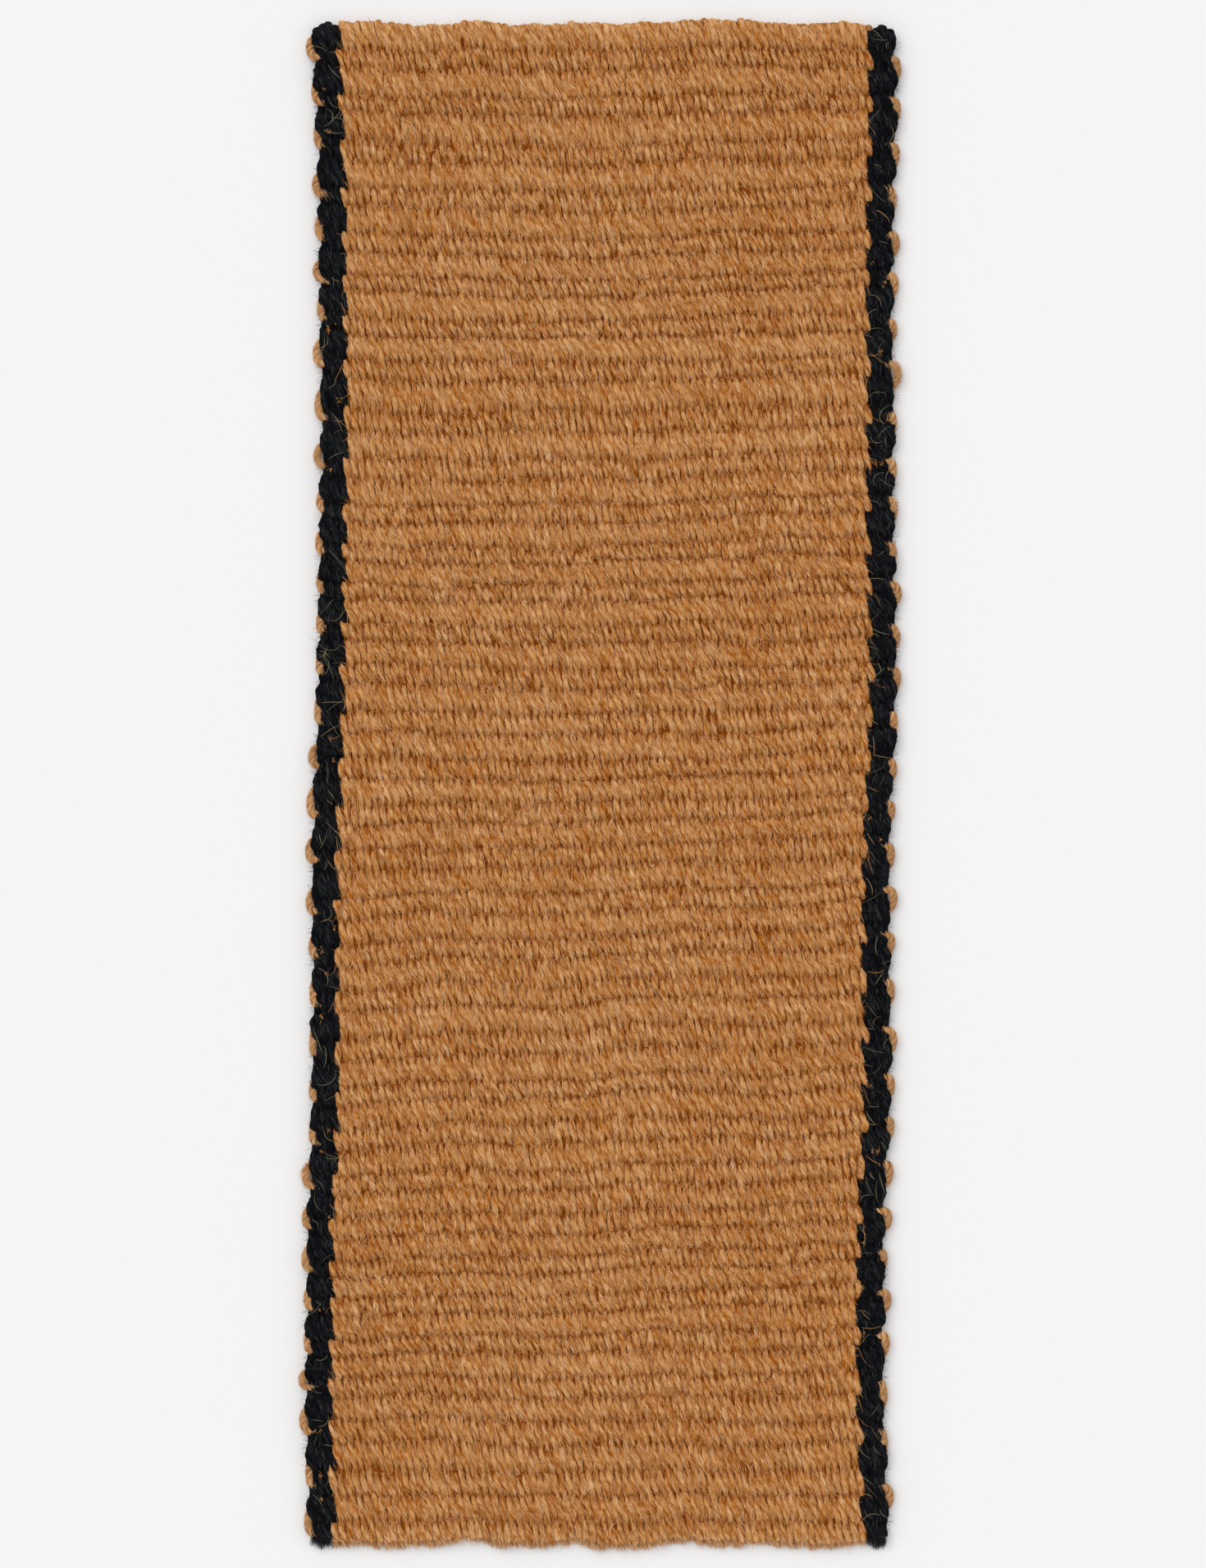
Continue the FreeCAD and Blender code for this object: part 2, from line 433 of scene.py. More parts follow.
# How much each of these changes a shade, which is 0 for the darkest yarn and 1 for the lightest.
SHADE_BY_YARN = 0.020
SHADE_BY_FLOAT = 0.035
SHADE_BY_PICK = 0.014
SHADE_BY_CLOUD = 0.010
# Painted shade: these three darken a yarn in its pits, below the rib tops and in the groove between its
# plies.
PAINTED_PIT_SHADE = 0.02
PAINTED_DEPTH_SHADE = 0.032
PAINTED_GROOVE_SHADE = 0.26
YARN_FLECKS = 0.055
FIBRE_FLECKS = 0.075


def yarn_shade(end, place):
    """How light a yarn is along its length, about 0.5."""
    x, y = end_x(end)[:, None], pick_y(place)
    shade = 0.5 + SHADE_BY_YARN * end_tone[end][:, None] + SHADE_BY_FLOAT * by_pick(float_tone, place, end)
    return shade + SHADE_BY_PICK * by_pick(pick_tone, place) + SHADE_BY_CLOUD * CLOUDS(x, y)


def painted_pit_shade(place, half_width):
    """Painted shade: how much darker a yarn is painted where it dives between its neighbours, where the gap's
    shade falls.
    """
    crossing = 1 - (half_width - CROSS_HALF_WIDTH) / (FLOAT_HALF_WIDTH - CROSS_HALF_WIDTH)
    return PAINTED_PIT_SHADE * (1 + 0.3 * by_pick(pick_tone, place + 0.5)) * np.clip(crossing, 0, 1) ** 2.5


def painted_depth_shade(z):
    """Painted shade: how much darker and redder fibres are painted below the tops of the ribs, for the shade
    there and for light that has been through other fibres.
    """
    return PAINTED_DEPTH_SHADE * smoothstep(0.0008, 0.0042, THICKNESS - z)


def ply_fibres(ply, along):
    """Coordinates for a material's streaks: round the yarn, and along it."""
    return np.stack(np.broadcast_arrays(0.004 * np.cos(ply), 0.004 * np.sin(ply), along), axis=-1)


def warp_tubes(ends):
    """Rings of warp yarns, with what their material reads."""
    place = np.broadcast_to(ring_places(), (len(ends), len(ring_places())))
    x, y, z, half_width, half_height = yarn_line(ends, place)
    tip = np.clip(np.minimum(place - FIRST_TIP, LAST_TIP - place) / TIP, 0, 1)
    closing = np.sqrt(1 - (1 - tip) ** 2)

    # The rings turn with the plies, so the groove between the plies runs along the mesh's own edges.
    ply = np.arange(AROUND) * 2 * math.pi / AROUND
    turn = end_twist[ends][:, None] - 2 * math.pi * place * PICK / end_turn[ends][:, None]
    angle = turn[..., None] + ply
    lumps = np.random.default_rng(int(ends[0])).normal(0, LUMPS, angle.shape)
    out = closing[..., None] * (1 - PLY_GROOVE + PLY_GROOVE * np.abs(np.cos(ply)) + lumps)
    ring_x = x[..., None] + half_width[..., None] * out * np.cos(angle)
    ring_z = z[..., None] + half_height[..., None] * out * np.sin(angle)
    ring_y = np.broadcast_to(y[..., None], ring_x.shape)
    points = laid(np.stack([ring_x, ring_y, ring_z], axis=-1))

    before, after = past_ends(place)
    # Painted shade: the yarn is darker where it dives between its neighbours, in the groove between its plies
    # and below the rib tops.
    tone = yarn_shade(ends, place) + 0.07 - painted_pit_shade(place, half_width) + 0.08 * before + 0.20 * after
    tone = tone[..., None] - PAINTED_GROOVE_SHADE * (1 - np.abs(np.cos(ply))) ** 1.5
    tone = tone + YARN_FLECKS * flecks(ring_x, ring_y) - painted_depth_shade(ring_z)
    apart = np.array([0, 0, 3.17]) * ends[:, None, None, None]  # so that no two yarns have the same streaks
    return points, tone, ply_fibres(ply, (place * PICK)[..., None]) + apart


def warp_piece(node, ends, made_of):
    """All the yarns of one node as one mesh, in place of the node."""
    points, tone, fibre = warp_tubes(np.array(ends))
    rows = points.shape[1]
    faces, maps = [], []
    for column in range(len(ends)):
        first = column * rows * AROUND
        faces += [grid_faces(rows, AROUND, first), cap_faces(rows, AROUND, first)]
        maps += [tube_uv(rows, AROUND, column, len(ends), 3), cap_uv(AROUND, column, len(ends), 3)]
    piece = new_mesh(
        f"{node}_yarns",
        points.reshape(-1, 3),
        np.concatenate(faces),
        made_of,
        np.concatenate(maps),
        tone=tone.ravel(),
        fibre=fibre.reshape(-1, 3),
    )
    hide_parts(node)
    return piece


def ends_by_node():
    """Which warp yarns stand for each node: the black ones from the edge inwards, two to a strand."""
    found = {}
    for side in ("left", "right"):
        for i in range(len(BLACK_NODES) // 2):
            inward = [k for k in (2 * i, 2 * i + 1) if k < BLACK_ENDS]
            found[f"black_warp_{side}_{i + 1}"] = [k if side == "left" else ENDS - 1 - k for k in inward]
    starts = [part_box(node)[0][0] for node in TAN_NODES]
    for end in range(BLACK_ENDS, ENDS - BLACK_ENDS):
        owner = TAN_NODES[max(0, np.searchsorted(starts, end_x(end)) - 1)]
        found.setdefault(owner, []).append(end)
    return found


# ---------------------------------------------------------------------------------------------------------
# Materials


def linear(red, green, blue):
    """Scene-linear colour of an sRGB one given in 0 to 255."""
    shares = (red / 255, green / 255, blue / 255)
    return tuple(c / 12.92 if c <= 0.04045 else ((c + 0.055) / 1.055) ** 2.4 for c in shares)


def noise(nodes, links, vector, scale, detail, roughness=0.5):
    """A noise texture read at a vector."""
    node = nodes.new("ShaderNodeTexNoise")
    node.inputs["Scale"].default_value = scale
    node.inputs["Detail"].default_value = detail
    node.inputs["Roughness"].default_value = roughness
    links.new(vector, node.inputs["Vector"])
    return node.outputs["Fac"]


def yarn_material(name, ramp, streak, roughness, sheen=0.0, coarse=900.0):
    """Plied hairy yarn: the colour follows each vertex's tone, with streaks that run along the fibres."""
    material = bpy.data.materials.new(name)
    material.use_nodes = True
    nodes, links = material.node_tree.nodes, material.node_tree.links
    shader = nodes["Principled BSDF"]
    shader.inputs["Sheen Weight"].default_value = sheen
    shader.inputs["Sheen Roughness"].default_value = 0.5
    shader.inputs["Specular IOR Level"].default_value = 0.02

    tone = nodes.new("ShaderNodeAttribute")
    tone.attribute_name = "tone"
    fibre = nodes.new("ShaderNodeAttribute")
    fibre.attribute_name = "fibre"
    stretch = nodes.new("ShaderNodeMapping")
    stretch.inputs["Scale"].default_value = (coarse, coarse, coarse * 0.3)
    links.new(fibre.outputs["Vector"], stretch.inputs["Vector"])
    place = nodes.new("ShaderNodeTexCoord")
    streaks = noise(nodes, links, stretch.outputs["Vector"], scale=1.0, detail=3.0, roughness=0.65)
    blotches = noise(nodes, links, place.outputs["Object"], scale=160.0, detail=2.0)

    def math_node(operation, a, b):
        node = nodes.new("ShaderNodeMath")
        node.operation = operation
        for socket, value in zip(node.inputs, (a, b)):
            if isinstance(value, (int, float)):
                socket.default_value = value
            else:
                links.new(value, socket)
        return node.outputs[0]

    lift = math_node("MULTIPLY", math_node("SUBTRACT", streaks, 0.5), streak)
    patch = math_node("MULTIPLY", math_node("SUBTRACT", blotches, 0.5), streak * 0.2)
    total = math_node("ADD", math_node("ADD", tone.outputs["Fac"], lift), patch)

    colours = nodes.new("ShaderNodeValToRGB")
    for _ in range(len(ramp) - 2):
        colours.color_ramp.elements.new(0.5)
    for element, (at, colour) in zip(colours.color_ramp.elements, ramp):
        element.position = at
        element.color = (*linear(*colour), 1)
    links.new(total, colours.inputs["Fac"])
    links.new(colours.outputs["Color"], shader.inputs["Base Color"])

    rough = nodes.new("ShaderNodeMapRange")
    rough.inputs["To Min"].default_value = roughness - 0.08
    rough.inputs["To Max"].default_value = roughness + 0.08
    links.new(streaks, rough.inputs["Value"])
    links.new(rough.outputs["Result"], shader.inputs["Roughness"])

    bump = nodes.new("ShaderNodeBump")
    bump.inputs["Strength"].default_value = 0.75
    bump.inputs["Distance"].default_value = 0.0012
    links.new(streaks, bump.inputs["Height"])
    links.new(bump.outputs["Normal"], shader.inputs["Normal"])
    return material


# Colours by tone, dark to light. The dark ones are redder, as light out of a gap has been through fibres.
TAN_COLOURS = ((0.0, (128, 44, 0)), (0.3, (170, 97, 24)), (0.6, (208, 153, 95)), (1.0, (238, 202, 160)))
WEFT_COLOURS = ((0.0, (110, 62, 28)), (0.3, (170, 110, 58)), (0.6, (208, 154, 100)), (1.0, (234, 196, 150)))
BLACK_COLOURS = ((0.0, (4, 4, 5)), (0.5, (16, 17, 20)), (0.8, (34, 36, 40)), (1.0, (66, 66, 64)))
PALE_COLOURS = ((0.0, (92, 84, 58)), (1.0, (206, 190, 150)))
# The field's end is darker and redder than the tan yarn: painted shade, as the ground is only seen deep in
# the gaps between yarns.
GROUND_COLOURS = ((0.0, (12, 10, 9)), (1.0, (131, 65, 12)))  # under the bands, and under the field

TAN = yarn_material("tan_yarn", TAN_COLOURS, streak=0.9, roughness=0.86, coarse=560.0)
FIBRE = yarn_material("tan_fibre", TAN_COLOURS, streak=0.25, roughness=0.88)
PALE = yarn_material("stray_hair", PALE_COLOURS, streak=0.3, roughness=0.6)
BLACK = yarn_material("black_yarn", BLACK_COLOURS, streak=0.9, roughness=0.84, sheen=0.02)
WEFT = yarn_material("weft_yarn", WEFT_COLOURS, streak=0.9, roughness=0.85, sheen=0.03)
GROUND = yarn_material("ground_yarn", GROUND_COLOURS, streak=0.2, roughness=0.92)

# What a piece is made of: the record's slot, and the material.
TAN_WARP = ("tan_yarn", TAN)
TAN_HAIR = ("tan_yarn", FIBRE)
PALE_HAIR = ("tan_yarn", PALE)
BLACK_WARP = ("black_yarn", BLACK)
WEFT_CORD = ("weft_yarn", WEFT)
CLOTH_BODY = ("tan_yarn", GROUND)


# ---------------------------------------------------------------------------------------------------------
# Fibres: thin flat ribbons


def ribbon_uv(count, joints):
    """A bake map for ribbons: each has a small cell of its own."""
    columns = max(1, int(math.sqrt(count / 4)))
    rows = math.ceil(count / columns)
    cell = np.stack([np.arange(count) % columns, np.arange(count) // columns], axis=-1)[:, None, None, :]
    along = (np.arange(joints - 1)[:, None] + np.array([0, 0, 1, 1])) / (joints - 1)
    across = np.broadcast_to(np.array([0, 1, 1, 0]), along.shape)
    inside = np.stack([0.06 + 0.88 * along, 0.08 + 0.84 * across], axis=-1)
    return ((cell + inside) / np.array([columns, rows])).reshape(-1, 2)


def ribbons(name, middle, side, width, tone, made_of):
    """One mesh of ribbons. middle and side are (n, m, 3) in the grid, width (n,), tone (n,) or (n, m)."""
    count, joints = middle.shape[:2]
    side = side / np.linalg.norm(side, axis=-1, keepdims=True)
    taper = np.sin(math.pi * (0.12 + 0.76 * np.arange(joints) / (joints - 1)))
    reach = side * (width[:, None] * taper)[..., None] / 2
    points = laid(np.stack([middle - reach, middle + reach], axis=2))
    first = np.arange(joints - 1)[None, :] * 2 + np.arange(count)[:, None] * joints * 2
    faces = np.stack([first, first + 1, first + 3, first + 2], axis=-1).reshape(-1, 4)
    tone = np.broadcast_to((tone if tone.ndim == 2 else tone[:, None])[..., None], points.shape[:3])
    fibre = np.zeros(points.shape)
    fibre[..., 0] = np.arange(count)[:, None, None] * 0.01
    fibre[..., 2] = np.linspace(0, 0.02, joints)[None, :, None]
    looks = {"tone": tone.ravel(), "fibre": fibre.reshape(-1, 3)}
    return new_mesh(name, points.reshape(-1, 3), faces, made_of, ribbon_uv(count, joints), **looks)


def surface_fibres(name, seed, ends, count, shade, made_of):
    """Short fibres that stand out of the floats of the upper face and lie along them."""
    rng = np.random.default_rng(seed)
    end = rng.choice(ends, count)
    pick = 2 * rng.integers(0, PICKS // 2, count) + end % 2
    run = np.linspace(-0.5, 0.5, 5)
    length = rng.uniform(0.005, 0.013, count)
    place = (pick + rng.uniform(-0.62, 0.62, count))[:, None] + run * length[:, None] / PICK
    place = np.clip(place, FIRST_TIP, LAST_PICK + 0.72)
    x, y, z, half_width, half_height = yarn_line(end, place)

    # They wind round the yarn, mostly less than its plies do, and rise at both ends.
    angle = math.pi / 2 + rng.normal(0, 0.75, count)
    winding = length * rng.uniform(0.1, 1.1, count) * 2 * math.pi / PLY_TURN
    angle = angle[:, None] - run * winding[:, None]
    lift = rng.uniform(0.02, 0.16, count)[:, None] + rng.uniform(0, 0.35, count)[:, None] * (2 * run) ** 2
    sway = rng.normal(0, 0.0010, count)[:, None] * 2 * run
    sway = sway + rng.normal(0, 0.0006, count)[:, None] * 4 * run**2
    out_x = x + half_width * (1 + lift * 0.5) * np.cos(angle) + sway
    out_z = z + half_height * (1 + lift) * np.sin(angle)
    side = np.stack([-half_width * np.sin(angle), np.zeros_like(x), half_height * np.cos(angle)], axis=-1)
    width = rng.uniform(0.0003, 0.0008, count)
    # Painted shade: fibres are darker where their yarn dives between its neighbours and below the rib tops.
    tone = yarn_shade(end, place) + shade - painted_pit_shade(place, half_width) + FIBRE_FLECKS * flecks(out_x, y)
    tone = tone + rng.normal(0, 0.36, count)[:, None] - painted_depth_shade(out_z)
    return ribbons(name, np.stack([out_x, y, out_z], axis=-1), side, width, tone, made_of)


def felt_fibres(name, seed, x_range, count, made_of):
    """Fibres rubbed across from float to float, which blur the ribs' edges."""
    rng = np.random.default_rng(seed)
    run = np.linspace(-0.5, 0.5, 4)
    length = rng.uniform(0.009, 0.020, count)
    heading = math.radians(-72) + rng.normal(0, 0.38, count)
    way = heading[:, None] + rng.normal(0, 0.7, count)[:, None] * run
    x = rng.uniform(*x_range, count)[:, None] + length[:, None] * run * np.cos(way)
    place = rng.uniform(-0.5, PICKS - 0.5, count)[:, None] - length[:, None] * run * np.sin(way) / PICK
    valley = 1 - np.minimum(np.abs(np.cos(math.pi * place) + UNEVEN_SHED), 1)
    z = THICKNESS - 0.0003 - 0.0028 * valley**2 + rng.normal(0, 0.0005, count)[:, None]
    y = pick_y(place + by_pick(pick_shift, place))
    side = np.stack([-np.sin(way), np.cos(way), rng.normal(0, 0.5, count)[:, None] + 0 * way], axis=-1)
    width = rng.uniform(0.00028, 0.0006, count)
    # Painted shade: fibres that lie in the valleys between ribs are darker.
    tone = 0.50 - 0.05 * valley + rng.normal(0, 0.17, count)[:, None]
    tone = tone + FIBRE_FLECKS * flecks(x, y) - painted_depth_shade(z)
    return ribbons(name, np.stack([x, y, z], axis=-1), side, width, tone, made_of)


def loose_hairs(name, seed, starts, length, heading, curl, width, shade, made_of, spread=0.5):
    """Longer single hairs that lie over the cloth in curves. starts is (n, 3) in the grid."""
    rng = np.random.default_rng(seed)
    count, joints = len(starts), 12
    length = rng.uniform(*length, count)
    turn = heading + rng.normal(0, spread, count)
    bend = rng.normal(0, curl, count)
    run = np.linspace(0, 1, joints)
    way = turn[:, None] + bend[:, None] * run**1.3
    step = np.stack([np.cos(way), np.sin(way)], axis=-1) * (length / (joints - 1))[:, None, None]
    flat = np.cumsum(step, axis=1) - step
    rise = rng.uniform(0.0002, 0.0022, count)[:, None] * np.sin(math.pi * run)
    middle = np.concatenate([starts[:, None, :2] + flat, (starts[:, 2:] + rise)[..., None]], axis=-1)
    side = np.stack([-np.sin(way), np.cos(way), 0.4 * np.sin(way * 3)], axis=-1)
    width = rng.uniform(*width, count)
    return ribbons(name, middle, side, width, shade + rng.normal(0, 0.12, count), made_of)


def cut_fibres(name, seed, ends, each, made_of):
    """The brushed fibres at the cut end of the warp, fanned out in small clumps."""
    rng = np.random.default_rng(seed)
    end = np.repeat(ends, each)
    count = len(end)
    run = np.linspace(0, 1, 5)
    place = np.broadcast_to(rng.uniform(LAST_TIP - 0.65, LAST_TIP - 0.08, count)[:, None], (count, 5))
    x, y, z, half_width, half_height = yarn_line(end, place)
    angle = rng.uniform(0, 2 * math.pi, count)[:, None]
    out = np.sqrt(rng.uniform(0.15, 1, count))[:, None]
    fan = (rng.normal(0, 0.0011, count)[:, None] + 0.0016 * LEANING(x * 4, 5.0)) * run**1.5
    clump = 0.0016 * SCALLOP(x, 3.0) + 0.0012 * end_cut[end][:, None]
    reach = pick_y(place) - pick_y(LAST_TIP + 0.20) + clump + rng.normal(0, 0.0016, count)[:, None]
    low = 0.0022 + 0.0035 * rng.random(count)[:, None] + 0.3 * (z - 0.003)
    start = z + half_height * out * 1.05 * np.sin(angle)
    out_x = x + half_width * out * 1.02 * np.cos(angle) + fan
    middle = np.stack([out_x, y - np.maximum(reach, 0.004) * run, start + (low - start) * run**2], axis=-1)
    across = angle + 1.3
    side = np.stack(np.broadcast_arrays(np.cos(across), np.zeros_like(x), np.sin(across)), axis=-1)
    width = rng.uniform(0.0003, 0.0006, count)
    tone = 0.64 + 0.15 * rng.normal(0, 1, count)[:, None] + 0.14 * run
    return ribbons(name, middle, side, width, tone, made_of)


# ---------------------------------------------------------------------------------------------------------
# Weft

WEFT_HALF_WIDTH = 7.0e-3  # inside the cloth, where the warp flattens it
WEFT_HALF_HEIGHT = 3.6e-3
LOOP_RADIUS = 4.7e-3
LOOP_STEP = 2.2e-3  # between rings of the weft round a loop
WEFT_TURN = 0.024  # length of weft in which its three plies turn once
WEFT_GROOVE = 0.42
RUN_POINTS = 60  # in each pass through the cloth
LOOP_POINTS = (  # one turn at an edge: how far out from the cloth, how far along between the picks, how high
    (-0.0120, 0.00, -0.0005),
    (-0.0040, 0.02, -0.0025),
    (0.0026, 0.10, -0.0035),
    (0.0054, 0.33, -0.0010),
    (0.0058, 0.66, 0.0018),
    (0.0040, 0.90, 0.0034),
    (-0.0002, 0.98, 0.0026),
    (-0.0060, 1.03, 0.0006),
    (-0.0130, 1.00, 0.0000),
)


def smooth_path(points, step):
    """Points every step along a Catmull-Rom curve through points."""
    points = np.array(points, dtype=float)
    padded = np.vstack([2 * points[0] - points[1], points, 2 * points[-1] - points[-2]])
    found = []
    for i in range(1, len(padded) - 2):
        a, b, c, d = padded[i - 1 : i + 3]
        count = max(1, int(np.linalg.norm(c - b) / step))
        t = (np.arange(count) / count)[:, None]
        square, cube = 2 * a - 5 * b + 4 * c - d, 3 * b - 3 * c + d - a
        found.append(0.5 * (2 * b + (c - a) * t + square * t**2 + cube * t**3))
    return np.vstack([*found, points[-1:]])


def path_sides(path):
    """Unit vectors to the side of a path that runs roughly level, and up from it."""
    tangent = np.gradient(path, axis=0)
    tangent /= np.linalg.norm(tangent, axis=1)[:, None]
    side = np.cross(tangent, (0, 0, 1.0))
    side /= np.linalg.norm(side, axis=1)[:, None]
    return side, np.cross(side, tangent)


def weft_loop(side, y, y_next, stretch):
    """One turn of the weft round the outermost yarn, from the pick at y to the one at y_next."""
    turn = LOOP_POINTS
    if side > 0:  # at this edge the weft comes out over the outermost yarn and goes back under it
        turn = [(out, 1 - along, up) for out, along, up in LOOP_POINTS[::-1]]
    corners = []
    for out, along, up in turn:
        x = side * (EDGE_RIGHT + out * (stretch if out > 0 else 1))
        corners.append((x, y + (y_next - y) * along, MIDDLE + up))
    return smooth_path(corners, LOOP_STEP)


def weft_path():
    """The weft's centre line in the grid, and how loose it is: 0 inside the cloth and 1 in a loop."""
    rng = np.random.default_rng(77)
    end_past_edge = EDGE_RIGHT + 0.002  # both of its own ends show at the edge
    points, loose = [], []
    side = -1
    for pick in range(PICKS):
        y = pick_y(pick + pick_shift[pick])
        start = end_past_edge if pick == 0 else -side * (EDGE_RIGHT - 0.016)
        points += [(x, y, MIDDLE) for x in np.linspace(start, side * (EDGE_RIGHT - 0.010), RUN_POINTS)]
        loose += [0.0] * RUN_POINTS
        if pick < LAST_PICK:
            y_next = pick_y(pick + 1 + pick_shift[pick + 1])
            loop = weft_loop(side, y, y_next, rng.uniform(0.5, 1.8))
            points += [tuple(point) for point in loop]
            loose += [1.0] * len(loop)
            side = -side
    points.append((side * end_past_edge, y, MIDDLE))
    loose.append(0.5)
    return np.array(points), np.array(loose)


def make_weft(made_of):
    """The weft as one plied cord, in place of its node."""
    path, loose = weft_path()
    soft = np.convolve(np.pad(loose, 3, mode="edge"), np.ones(7) / 7, "valid")
    radius = LOOP_RADIUS * (1 + 0.12 * np.sin(np.arange(len(path)) / 37.0))
    half_side = (WEFT_HALF_WIDTH * (1 - soft) + radius * soft)[:, None]
    half_up = (WEFT_HALF_HEIGHT * (1 - soft) + radius * soft)[:, None]
    along = np.concatenate([[0], np.cumsum(np.linalg.norm(np.diff(path, axis=0), axis=1))])[:, None]

    side, up = path_sides(path)
    ply = np.arange(AROUND) * 2 * math.pi / AROUND
    ridge = np.abs(np.cos(1.5 * ply))  # 1 on top of each of the three plies
    shape = 1 - WEFT_GROOVE + WEFT_GROOVE * ridge
    angle = ply - 2 * math.pi * along / WEFT_TURN
    rings = path[:, None] + side[:, None] * (half_side * shape * np.cos(angle))[..., None]
    points = laid(rings + up[:, None] * (half_up * shape * np.sin(angle))[..., None])

    # Painted shade: the weft is darker in the grooves between its plies and where it runs inside the cloth
    # under the warp. The waves along it are its own tone.
    tone = 0.74 - 0.70 * (1 - ridge) - 0.35 * (1 - soft)[:, None]
    tone = tone + 0.10 * np.sin(along / 0.21) * np.sin(along / 0.077)
    looks = {"tone": tone.ravel(), "fibre": ply_fibres(ply, along).reshape(-1, 3)}
    rows = len(path)
    faces = np.concatenate([grid_faces(rows, AROUND), cap_faces(rows, AROUND)])
    uv = np.concatenate([tube_uv(rows, AROUND, 0, 1, 48), cap_uv(AROUND, 0, 1, 48)])
    piece = new_mesh("weft_cord_yarn", points.reshape(-1, 3), faces, made_of, uv, **looks)
    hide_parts("weft_cord")
    return piece


def loop_fibres(name, seed, count, frayed, made_of):
    """Fibres on the weft's loops at both edges, lying along its plies. The frayed loops are brushed out."""
    rng = np.random.default_rng(seed)
    path, _ = weft_path()
    side, up = path_sides(path)
    start = rng.choice(np.flatnonzero(np.abs(path[:, 0]) > EDGE_RIGHT), count)
    turn = np.floor((FIRST_PICK - path[start, 1]) / PICK)
    loosened = np.where(np.isin(turn, rng.choice(LAST_PICK, frayed, replace=False)), 1.0, 0.0)[:, None]
    run = np.linspace(-0.5, 0.5, 5)
    length = rng.uniform(0.006, 0.013, count)[:, None]
    at = start[:, None] + run * length / LOOP_STEP

    def along(values):
        return np.stack([np.interp(at, np.arange(len(path)), values[:, i]) for i in range(3)], axis=-1)

    angle = rng.uniform(-0.3, math.pi + 0.3, count)[:, None] - 2 * math.pi * run * length / WEFT_TURN
    lift = rng.uniform(0.0, 0.10, count)[:, None] + rng.uniform(0, 0.3, count)[:, None] * (2 * run) ** 2
    out = LOOP_RADIUS * (1 + lift + loosened * rng.uniform(0, 0.9, count)[:, None] * (run + 0.5))
    sides, ups = along(side), along(up)
    middle = along(path) + sides * (out * np.cos(angle))[..., None] + ups * (out * np.sin(angle))[..., None]
    across = ups * np.cos(angle)[..., None] - sides * np.sin(angle)[..., None]
    tone = 0.62 + rng.normal(0, 0.20, count)
    return ribbons(name, middle, across, rng.uniform(0.0003, 0.0007, count), tone, made_of)


# ---------------------------------------------------------------------------------------------------------
# Ground: the body of the cloth, between its two faces

GROUND_ACROSS = 166  # vertices
GROUND_ALONG = PICKS * 6
GROUND_INSET = 4.5e-3  # from the long edges


def ground_faces():
    """Quads of a closed slab: an upper and a lower sheet of vertices, and the wall round them."""
    across, along = GROUND_ACROSS, GROUND_ALONG
    n = across * along
    a = (np.arange(across - 1)[:, None] * along + np.arange(along - 1)[None, :]).ravel()
    top = np.stack([a + along, a + along + 1, a + 1, a], axis=-1)
    rim = np.concatenate(
        [
            np.arange(0, along - 1),
            (along - 1) + along * np.arange(0, across - 1),
            (n - 1) - np.arange(0, along - 1),
            n - along - along * np.arange(0, across - 1),
        ]
    )
    following = np.roll(rim, -1)
    return top, top[:, ::-1] + n, np.stack([following, following + n, rim + n, rim], axis=-1)


def ground_uv(flat_faces, wall_count):
    """A bake map for the slab: its two sheets side by side, and its wall as a strip above them."""
    u, v = np.arange(GROUND_ACROSS) / GROUND_ACROSS, np.arange(GROUND_ALONG) / GROUND_ALONG
    spot = np.stack(np.meshgrid(u, v, indexing="ij"), axis=-1).reshape(-1, 2)
    spot = np.array([0.01, 0.01]) + spot * np.array([0.48, 0.94])
    flat = np.concatenate([spot, spot + np.array([0.5, 0])])[flat_faces]
    k = np.arange(wall_count)[:, None]
    wall = np.stack([(k + [1, 1, 0, 0]) / wall_count, 0 * k + [0.96, 0.99, 0.99, 0.96]], axis=-1)
    return np.concatenate([flat.reshape(-1, 2), wall.reshape(-1, 2)])


def make_ground(made_of):
    """The pressed middle of the cloth, closed all round, which the floats of both faces lie on."""
    across = np.linspace(EDGE_LEFT + GROUND_INSET, EDGE_RIGHT - GROUND_INSET, GROUND_ACROSS)
    along = np.linspace(-0.30, LAST_PICK + 0.25, GROUND_ALONG)
    x, place = np.meshgrid(across, along, indexing="ij")
    y = pick_y(place + by_pick(pick_shift, place))
    half = 0.0010 + 0.0022 * np.abs(np.cos(math.pi * np.clip(place, 0, LAST_PICK))) ** 1.5
    sheets = [laid(np.stack([x, y, MIDDLE + sign * half], axis=-1)).reshape(-1, 3) for sign in (1, -1)]
    top, bottom, wall = ground_faces()
    flat = np.concatenate([top, bottom])
    in_field = np.minimum(x - EDGE_LEFT, EDGE_RIGHT - x) - BLACK_BAND
    tone = np.tile(smoothstep(-0.001, 0.003, in_field).ravel(), 2)
    faces = np.concatenate([flat, wall])
    uv = ground_uv(flat, len(wall))
    return new_mesh("woven_ground", np.concatenate(sheets), faces, made_of, uv, tone=tone)


# ---------------------------------------------------------------------------------------------------------
# Build


def by_side(starts):
    """Splits starts between the two edges, each with its name and the heading towards the cloth's middle."""
    for side, sign, inward in (("left", -1, 0.0), ("right", 1, math.pi)):
        yield side, starts[np.sign(starts[:, 0]) == sign], inward


def field_hairs(rng):
    """Loose hairs all over the tan field."""
    count = 3000
    x = rng.uniform(EDGE_LEFT + 0.02, EDGE_RIGHT - 0.02, count)
    y = rng.uniform(Y_LOW + 0.03, Y_HIGH - 0.02, count)
    z = rng.uniform(THICKNESS - 0.0018, THICKNESS, count)
    starts = np.stack([x, y, z], axis=-1)
    shape = {"length": (0.010, 0.028), "heading": -1.2, "curl": 0.7, "width": (0.25e-3, 0.40e-3)}
    return [loose_hairs("loose_tan_hairs", 401, starts, shade=0.55, made_of=TAN_HAIR, **shape)]


